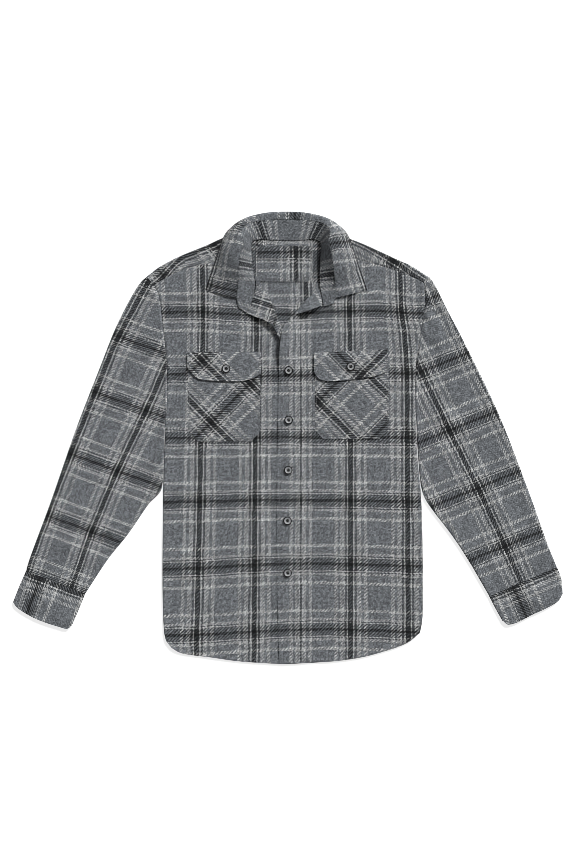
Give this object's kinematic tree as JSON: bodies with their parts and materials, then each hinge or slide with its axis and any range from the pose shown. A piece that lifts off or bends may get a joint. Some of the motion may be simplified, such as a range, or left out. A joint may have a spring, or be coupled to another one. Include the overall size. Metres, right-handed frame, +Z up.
{
  "type": "flannel shirt",
  "caption": "Long-sleeved plaid flannel overshirt laid flat, front up, with an open collar, buttoned front, flapped chest pockets and buttoned cuffs.",
  "frame": {"origin": "middle of the shirt's bounding box, on the surface it lies on", "axes": "+X across the shirt towards the wearer's left sleeve, +Y from hem to collar, +Z up off the surface, out of the front"},
  "size_m": [0.9895, 0.8128, 0.0328],
  "materials": {
    "plaid_flannel": "brushed twill flannel in a grey, charcoal and off-white plaid",
    "button": "dark grey four-hole shirt buttons with a polished rim"
  },
  "bodies": {
    "root": {"back_panel": "plaid_flannel", "yoke": "plaid_flannel", "neck_patch": "plaid_flannel", "front_right": "plaid_flannel", "front_left": "plaid_flannel", "placket": "plaid_flannel", "button_band": "plaid_flannel", "collar_stand": "plaid_flannel", "collar_leaf": "plaid_flannel", "sleeve_right": "plaid_flannel", "sleeve_left": "plaid_flannel", "cuff_right": "plaid_flannel", "cuff_left": "plaid_flannel", "pocket_right": "plaid_flannel", "pocket_left": "plaid_flannel", "flap_right": "plaid_flannel", "flap_left": "plaid_flannel", "button_front_1": "button", "button_front_2": "button", "button_front_3": "button", "button_front_4": "button", "button_front_5": "button", "button_flap_right": "button", "button_flap_left": "button", "button_cuff_right": "button", "button_cuff_left": "button"}
  },
  "joints": []
}
